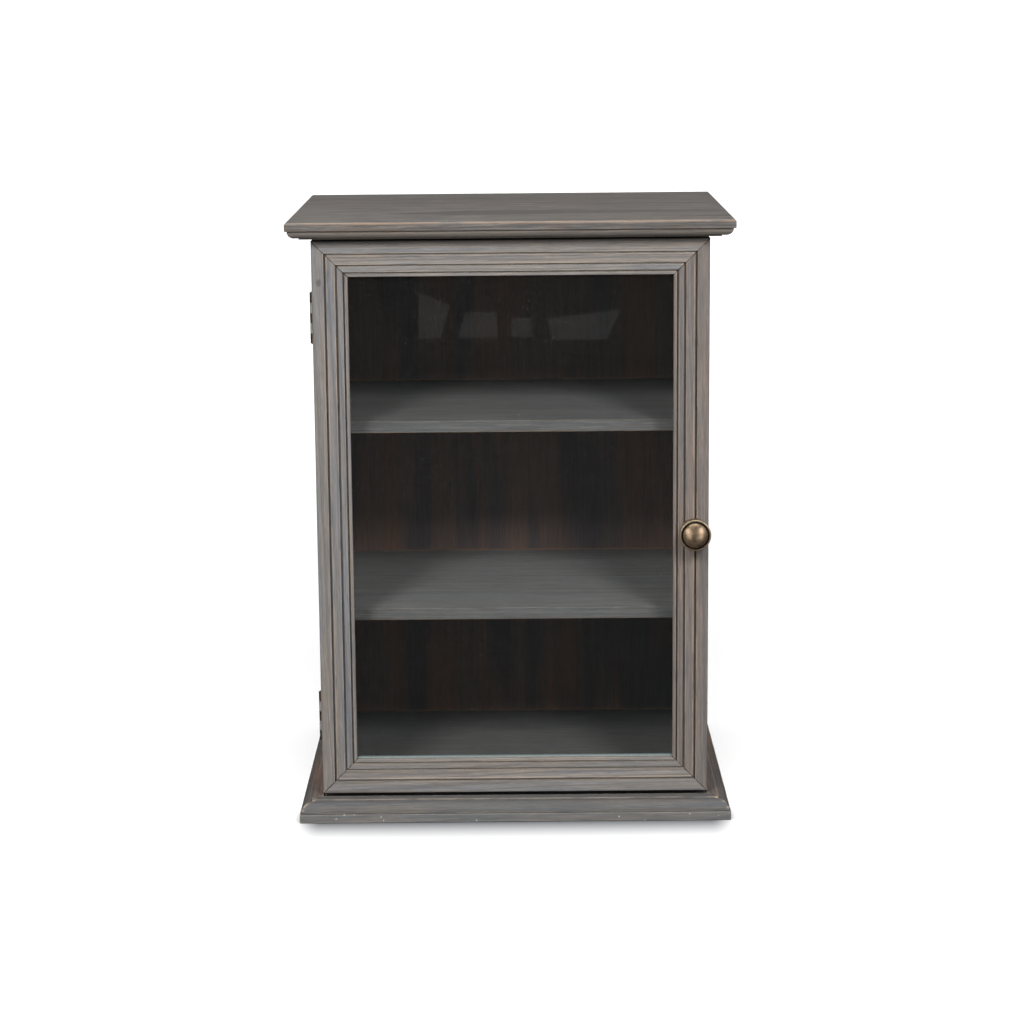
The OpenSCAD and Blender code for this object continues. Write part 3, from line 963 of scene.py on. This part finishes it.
@dataclass
class Base:
    """The base board and the moulding that runs round three of its sides."""

    finish: WashedWood = BASE_WOOD
    moulding: WashedWood = BASE_MOULDING
    side_moulding: WashedWood = BASE_SIDE_MOULDING

    def build(self) -> list[str]:
        """Dresses the pieces.

        Returns:
            The names of the pieces.
        """
        joint = Mitre.at_front("base_front_moulding")
        front, side = self.moulding, self.side_moulding
        across, back = Grain.ALONG_X, Grain.ALONG_Y
        return [
            dress("base_board", self.finish.material("board", across, 2.0)),
            dress("base_front_moulding", front.material("front", across, 5.0, mitre=joint)),
            dress("base_left_moulding", side.material("left", back, 8.0, mitre=joint)),
            dress("base_right_moulding", side.material("right", back, 12.0, mitre=joint)),
        ]


@dataclass
class Crown:
    """The top board and the moulding under it."""

    board: WashedWood = BOARD_WOOD
    moulding: WashedWood = CROWN_WOOD
    # How strongly painted shade darkens the creases of the top board and of the front crown
    # moulding.
    board_crease_shade: float = 0.5
    front_crease_shade: float = 0.1

    def build(self) -> list[str]:
        """Dresses the pieces.

        Returns:
            The names of the pieces.
        """
        joint = Mitre.at_front("crown_front_moulding")
        wood, side = self.moulding, Grain.ALONG_Y
        front = wood.material("crown", Grain.ALONG_X, 24.0, self.front_crease_shade, joint)
        return [
            dress("top_board", self.board.material("top", Grain.ALONG_X, 21.0, self.board_crease_shade)),
            dress("crown_front_moulding", front),
            dress("crown_left_moulding", wood.material("crown_l", side, 27.0, mitre=joint)),
            dress("crown_right_moulding", wood.material("crown_r", side, 31.0, mitre=joint)),
        ]


@dataclass
class Carcass:
    """Sides, floor, ceiling, shelves and the back panel with its brads."""

    wood: WashedWood = FRAME_WOOD
    inside: WashedWood = SHELF_WOOD
    # The case floor is a darker copy of the shelf wood, painted shade, and the lower shelf a lighter
    # copy, painted light.
    floor: WashedWood = replace(SHELF_WOOD, wash=shade(110, 110, 109), cool=shade(98, 101, 103))
    lighter_lit_shelf: WashedWood = replace(
        SHELF_WOOD, wash=shade(134, 134, 133), cool=shade(121, 124, 127), front_painted_shade=0.42
    )
    ply: StainedPly = BACK_PLY
    brad_head: float = 1.2 * MM
    brad_rise: float = 0.7 * MM
    brad_inset: float = 8 * MM
    brads_up: int = 6
    brads_across: int = 4

    def build(self) -> list[str]:
        """Dresses the pieces and nails the back on.

        Returns:
            The names of the pieces.
        """
        up, level = Grain.ALONG_Z, Grain.ALONG_X
        return [
            dress("left_side", self.wood.material("left_side", up, 41.0)),
            dress("right_side", self.wood.material("right_side", up, 44.0)),
            dress("case_floor", self.floor.material("floor", level, 47.0)),
            dress("case_top", self.inside.material("ceiling", level, 51.0)),
            dress("upper_shelf", self.inside.material("upper", level, 54.0)),
            dress("lower_shelf", self.lighter_lit_shelf.material("lower", level, 58.0)),
            dress("back_panel", self.ply.material("panel")),
            self.brads().name,
        ]

    def brads(self) -> bpy.types.Object:
        """Sets a row of brad heads along each edge of the back panel.

        Returns:
            The brads, as one piece.
        """
        low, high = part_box("back_panel")
        left, right = low.x + self.brad_inset, high.x - self.brad_inset
        bottom, top = low.z + self.brad_inset, high.z - self.brad_inset
        spots = []
        for i in range(self.brads_up):
            z = bottom + (top - bottom) * i / (self.brads_up - 1)
            spots += [(left, z), (right, z)]
        for i in range(1, self.brads_across - 1):
            x = left + (right - left) * i / (self.brads_across - 1)
            spots += [(x, bottom), (x, top)]
        turn = Matrix.Rotation(math.radians(-90), 4, "X")
        places = [Matrix.Translation((x, high.y, z)) @ turn for x, z in spots]
        head, rise = self.brad_head, self.brad_rise
        shank = [(0, -rise), (head * 0.5, -rise)]
        crown = [(head, 0), (head * 0.92, rise * 0.4), (head * 0.55, rise), (0, rise)]
        piece = Lathe(shank + crown).ring_mesh("back_panel_brads", places)
        piece.data.materials.append(BRONZE.material("brads"))
        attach(piece, Body.CASE.value)
        return piece


@dataclass
class Door:
    """The mitred door frame, its glass and the beads that hold it."""

    left_wood: WashedWood = replace(
        FRAME_WOOD,
        wash=shade(125, 120, 115),
        cool=shade(110, 114, 121),
        bare=shade(140, 126, 113),
        cool_share=0.8,
        bare_share=0.32,
    )
    right_wood: WashedWood = replace(
        FRAME_WOOD, wash=shade(115, 108, 103), cool=shade(98, 99, 102), bare=shade(131, 114, 103)
    )
    rail: WashedWood = replace(FRAME_WOOD, wash=shade(131, 126, 121), bare=shade(147, 134, 122))
    # A pale tone painted into the creases of the rails and beads, where light from above falls into
    # their grooves: painted light.
    painted_crease_light: Tone = shade(185, 176, 166)
    knot: Knot = Knot(along=0.540, across=-0.1866, radius=2.6 * MM)
    glass: Tone = (0.985, 0.986, 0.983)
    # The pale bluish tone of the painted glint along the pane's lower edge and of its specks of
    # dust.
    glint_and_dust: Tone = shade(170, 190, 192)
    # How strongly the creases of the rails and beads take that painted light, and those of the
    # stiles take painted shade.
    rail_crease_light: float = 0.85
    stile_crease_shade: float = 1.0

    def build(self) -> list[str]:
        """Dresses the frame, the beads and the pane.

        Returns:
            The names of the pieces.
        """
        low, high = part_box("left_stile")
        middle, half_length = (low.z + high.z) / 2, (high.z - low.z) / 2
        joint = Mitre(half_width=-low.x, axis="Z", middle=middle, half_length=half_length)
        rails = {"top_rail": 61.0, "bottom_rail": 64.0, "top_bead": 67.0, "bottom_bead": 71.0}
        stiles = {"left_stile": 74.0, "right_stile": 77.0, "left_bead": 81.0, "right_bead": 84.0}
        rail_wood = replace(self.rail, painted_crease_light=self.painted_crease_light)
        for name, shift in rails.items():
            dress(name, rail_wood.material(name, Grain.ALONG_X, shift, self.rail_crease_light, joint))
        for name, shift in stiles.items():
            wood = self.right_wood if name.startswith("right") else self.left_wood
            knot = self.knot if name == "left_stile" else None
            dress(name, wood.material(name, Grain.ALONG_Z, shift, self.stile_crease_shade, joint, knot))
        glass = FloatGlass("float_glass", self.glass, self.glint_and_dust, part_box("bottom_rail")[1].z)
        return [*rails, *stiles, dress("glass_pane", glass.material("pane"))]


@dataclass
class Hinges:
    """Two butt hinges with their pins and screws.

    The door's leaves are painted pale and barely metallic, a painted reflection standing in for a
    bright sheen, and the case's leaves are not.
    """

    finish: AgedMetal = BRONZE
    door_leaf: AgedMetal = PAINTED_SHEEN_LEAF

    def build(self) -> list[str]:
        """Dresses the leaves, pins and screws.

        Returns:
            The names of the pieces.
        """
        parts = ("case_leaf", "door_leaf", "pin")
        names = [f"{end}_hinge_{part}" for end in ("upper", "lower") for part in parts]
        names += ["hinge_case_screws", "hinge_door_screws"]
        for name in names:
            finish = self.door_leaf if name.endswith("door_leaf") else self.finish
            dress(name, finish.material(name))
        return names


@dataclass
class Catch:
    """The magnetic catch under the ceiling and its plate on the door."""

    def build(self) -> list[str]:
        """Dresses the pieces.

        Returns:
            The names of the pieces.
        """
        steel = ("catch_pole_plates", "catch_screws", "strike_plate", "strike_screw")
        return [
            dress("catch_body", CATCH_PLASTIC.material("catch")),
            dress("catch_magnet", FERRITE.material("magnet")),
            *(dress(name, ZINC.material(name)) for name in steel),
        ]


@dataclass
class Knob:
    """The mushroom knob and the screw that holds it."""

    finish: AgedMetal = ANTIQUE_BRASS
    groove_in: float = 3.4 * MM
    groove_out: float = 1.5 * MM
    groove_back: float = 9 * MM
    lip_gap: float = 0.6 * MM

    def build(self) -> list[str]:
        """Dresses the knob and its screw.

        Returns:
            The names of the pieces.
        """
        low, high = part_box("knob")
        middle, radius = (low + high) / 2, (high.x - low.x) / 2
        groove = TurnedRing(
            x=middle.x,
            z=middle.z,
            inner=radius - self.groove_in,
            outer=radius - self.groove_out,
            front_of=low.y + self.groove_back,
        )
        # The lip runs only above a height just under the middle, where it is painted bright: a
        # painted highlight.
        highlight_lip = replace(
            groove,
            inner=groove.outer + self.lip_gap,
            outer=groove.outer + self.groove_out + MM,
            above=groove.z - self.lip_gap,
        )
        brass = replace(self.finish, groove=groove, highlight_lip=highlight_lip)
        return [
            dress("knob", brass.material("knob")),
            dress("knob_screw", ZINC.material("knob_screw")),
        ]


# ---- Studio ----


@dataclass
class Softbox:
    """A soft rectangular lamp that looks at a point."""

    name: str
    place: tuple[float, float, float]
    size: tuple[float, float]
    radiance: float
    aim: tuple[float, float, float] = (0.0, 0.0, 0.3)
    diffuse: bool = True
    gloss: bool = True

    def build(self) -> bpy.types.Object:
        """Makes the lamp.

        Returns:
            The lamp.
        """
        data = bpy.data.lights.new(self.name, "AREA")
        data.shape = "RECTANGLE"
        data.size, data.size_y = self.size
        data.energy = math.pi * self.size[0] * self.size[1] * self.radiance
        lamp = bpy.data.objects.new(self.name, data)
        lamp.location = self.place
        look = Vector(self.aim) - Vector(self.place)
        lamp.rotation_euler = look.to_track_quat("-Z", "Y").to_euler()
        lamp.visible_diffuse, lamp.visible_glossy = self.diffuse, self.gloss
        bpy.context.scene.collection.objects.link(lamp)
        return lamp


@dataclass
class Card:
    """A pale card beside or behind the camera, which shows only as a reflection."""

    name: str
    x: float
    z: float
    top: float
    bottom: float
    height: float
    slide: float = 0.0
    tilt: float = 0.0
    y: float = -3.5
    radiance: float = 0.15

    def build(self) -> bpy.types.Object:
        """Makes the card.

        Returns:
            The card.
        """
        low, high = self.z - self.height / 2, self.z + self.height / 2
        corners = [
            (self.x - self.bottom / 2, self.y, low),
            (self.x + self.bottom / 2, self.y, low),
            (self.x + self.slide + self.top / 2, self.y, high - self.tilt),
            (self.x + self.slide - self.top / 2, self.y, high + self.tilt),
        ]
        mesh = bpy.data.meshes.new(self.name)
        mesh.from_pydata(corners, [], [(0, 1, 2, 3)])
        made = bpy.data.objects.new(self.name, mesh)
        bpy.context.scene.collection.objects.link(made)
        p = Painter(self.name)
        made.data.materials.append(p.end(p.fed("Emission", {"Strength": self.radiance})))
        made.visible_camera = made.visible_diffuse = made.visible_shadow = False
        return made


@dataclass
class Studio:
    """A pale sweep, soft lamps and the camera."""

    paper: Tone = (0.93, 0.93, 0.93)
    # A painted soft shadow on the paper at the case's foot: its tone, reach, spread beside and
    # behind, strength and fall-off.
    painted_shadow: Tone = (0.055, 0.06, 0.07)
    painted_shadow_reach: float = 0.098
    painted_shadow_side: float = 0.022
    painted_shadow_behind: float = 0.066
    painted_shadow_share: float = 0.95
    painted_shadow_fall: float = 1.25
    paper_roughness: float = 0.9
    half_width: float = 6.0
    front: float = -6.0
    back: float = 2.4
    bend: float = 1.2
    rise: float = 4.0
    bend_steps: int = 24
    sky: float = 0.48
    ground: float = 0.25
    horizon: float = 0.25
    lamps: list[Softbox] = field(
        default_factory=lambda: [
            Softbox("key_left", (-1.9, -1.7, 1.45), (1.2, 1.2), 4.0, diffuse=False),
            Softbox("key_right", (1.9, -1.7, 1.45), (1.2, 1.2), 3.7, diffuse=False),
            Softbox("fill_left", (-0.87, -2.2, 1.75), (0.5, 0.6), 42.0, gloss=False),
            Softbox("fill_right", (0.87, -2.2, 1.75), (0.5, 0.6), 42.0, gloss=False),
            Softbox("overhead", (0.0, -0.3, 2.2), (1.8, 0.9), 3.4, diffuse=False),
        ]
    )
    floor_lamps: list[Softbox] = field(
        default_factory=lambda: [
            Softbox("floor_lift", (0.0, -0.4, 3.0), (5.0, 5.0), 0.5, (0.0, -0.4, 0.0)),
            Softbox("wall_lift", (0.0, -2.0, 2.6), (5.0, 2.0), 4.5, (0.0, 2.4, 1.2)),
        ]
    )
    cards: list[Card] = field(
        default_factory=lambda: [
            Card("card_1", -0.188, 0.095, 0.07, 0.05, 0.09, slide=0.012, tilt=0.015),
            Card("card_2", -0.080, 0.080, 0.07, 0.09, 0.058, slide=0.008),
            Card("card_3", 0.019, 0.074, 0.042, 0.047, 0.044),
            Card("card_4", 0.150, 0.074, 0.165, 0.125, 0.058, slide=0.010, tilt=-0.010),
            Card("bounce_left", -1.9, 0.1, 2.2, 2.2, 2.4, y=-2.2, radiance=1.3),
            Card("bounce_right", 1.9, 0.1, 2.2, 2.2, 2.4, y=-2.2, radiance=1.3),
            Card("bounce_low", 0.0, -1.2, 2.6, 2.6, 1.0, y=-1.0, radiance=0.2),
        ]
    )
    camera_place: tuple[float, float, float] = (0.00298, -2.7118, 0.8155)
    pitch: float = 0.1946
    yaw: float = 0.00144
    roll: float = -0.00885
    lens: float = 92.78
    sensor: float = 36.0

    def build(self) -> list[str]:
        """Makes the sweep, the lamps, the cards, the sky and the camera.

        Returns:
            The names of what was made.
        """
        bpy.context.scene.view_settings.view_transform = "Standard"
        sweep = self.sweep()
        names = [sweep.name]
        names += [lamp.build().name for lamp in self.lamps]
        only_sweep = bpy.data.collections.new("only_sweep")
        only_sweep.objects.link(sweep)
        for softbox in self.floor_lamps:
            lamp = softbox.build()
            lamp.light_linking.receiver_collection = only_sweep
            lamp.visible_glossy = False
            names.append(lamp.name)
        names += [card.build().name for card in self.cards]
        self.light_sky()
        names.append(self.camera().name)
        return names

    def sweep(self) -> bpy.types.Object:
        """Makes the floor that bends up into a back wall.

        Returns:
            The sweep.
        """
        flat_end, sides = self.back - self.bend, (-self.half_width, self.half_width)
        line = [(self.front, 0.0), (flat_end, 0.0)]
        for i in range(1, self.bend_steps + 1):
            angle = math.pi / 2 * i / self.bend_steps
            out, up = math.sin(angle), 1 - math.cos(angle)
            line.append((flat_end + self.bend * out, self.bend * up))
        line.append((self.back, self.rise))
        shape = bmesh.new()
        rows = [[shape.verts.new((x, y, z)) for x in sides] for y, z in line]
        for low, high in zip(rows, rows[1:]):
            face = shape.faces.new((low[0], low[1], high[1], high[0]))
            face.smooth = True
        mesh = bpy.data.meshes.new("sweep")
        shape.to_mesh(mesh)
        shape.free()
        made = bpy.data.objects.new("sweep", mesh)
        bpy.context.scene.collection.objects.link(made)
        made.data.materials.append(self.paper_with_painted_shadow())
        made.visible_glossy = made.visible_diffuse = False
        return made

    def paper_with_painted_shadow(self) -> bpy.types.Material:
        """Paints the paper, with a painted soft shadow in front of and beside the case's foot.

        Returns:
            The material.
        """
        p = Painter("sweep_paper")
        low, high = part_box("base_board")
        place = p.split(p.place())
        # Painted shadow: darkest at the front of the foot, fading forward, beside and behind it.
        ahead = p.less(low.y, place["Y"])
        ahead = p.math("DIVIDE", ahead, self.painted_shadow_reach, clamp=True)
        fade = p.math("POWER", p.less(1.0, ahead), self.painted_shadow_fall)
        outer, inner = high.x + self.painted_shadow_side, high.x - self.painted_shadow_side
        beside = p.step(p.math("ABSOLUTE", place["X"]), outer, inner)
        behind = p.step(place["Y"], low.y + self.painted_shadow_behind, low.y)
        near = p.times(p.times(p.times(fade, beside), behind), self.painted_shadow_share)
        paper = p.mix(near, self.paper, self.painted_shadow)
        return p.surface(Base_Color=paper, Roughness=self.paper_roughness)

    def light_sky(self) -> None:
        """Gives the room a soft light that is weaker from below, and none that gloss can mirror."""
        world = bpy.data.worlds.new("sky")
        world.use_nodes = True
        tree = world.node_tree
        sheet = tree.nodes["Background"]
        sheet.inputs["Color"].default_value = (1.0, 1.0, 1.0, 1.0)
        height = tree.nodes.new("ShaderNodeSeparateXYZ")
        tree.links.new(tree.nodes.new("ShaderNodeTexCoord").outputs["Generated"], height.inputs[0])
        fade = tree.nodes.new("ShaderNodeMapRange")
        spans = {"From Min": -self.horizon, "From Max": self.horizon}
        spans |= {"To Min": self.ground, "To Max": self.sky}
        for name, value in spans.items():
            fade.inputs[name].default_value = value
        tree.links.new(height.outputs["Z"], fade.inputs["Value"])
        tree.links.new(fade.outputs["Result"], sheet.inputs["Strength"])
        world.cycles_visibility.glossy = False
        bpy.context.scene.world = world

    def camera(self) -> bpy.types.Object:
        """Sets the camera up in front of the case, a little above it and looking down.

        Returns:
            The camera.
        """
        data = bpy.data.cameras.new("camera")
        data.lens, data.sensor_width = self.lens, self.sensor
        data.clip_start, data.clip_end = 0.01, 100.0
        made = bpy.data.objects.new("camera", data)
        made.matrix_world = Matrix.Translation(self.camera_place)
        turns = ((self.yaw, "Z"), (math.pi / 2 - self.pitch, "X"), (self.roll, "Z"))
        for angle, axis in turns:
            made.matrix_world = made.matrix_world @ Matrix.Rotation(angle, 4, axis)
        bpy.context.scene.collection.objects.link(made)
        bpy.context.scene.camera = made
        return made


def main() -> None:
    """Builds each sub-assembly in order and reports its pieces."""
    logging.basicConfig(level=logging.INFO, format="%(message)s")
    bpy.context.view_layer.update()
    for part in (Base(), Crown(), Carcass(), Door(), Hinges(), Catch(), Knob(), Studio()):
        LOG.info("%s: %s", type(part).__name__, ", ".join(part.build()))


if __name__ == "__main__":
    main()
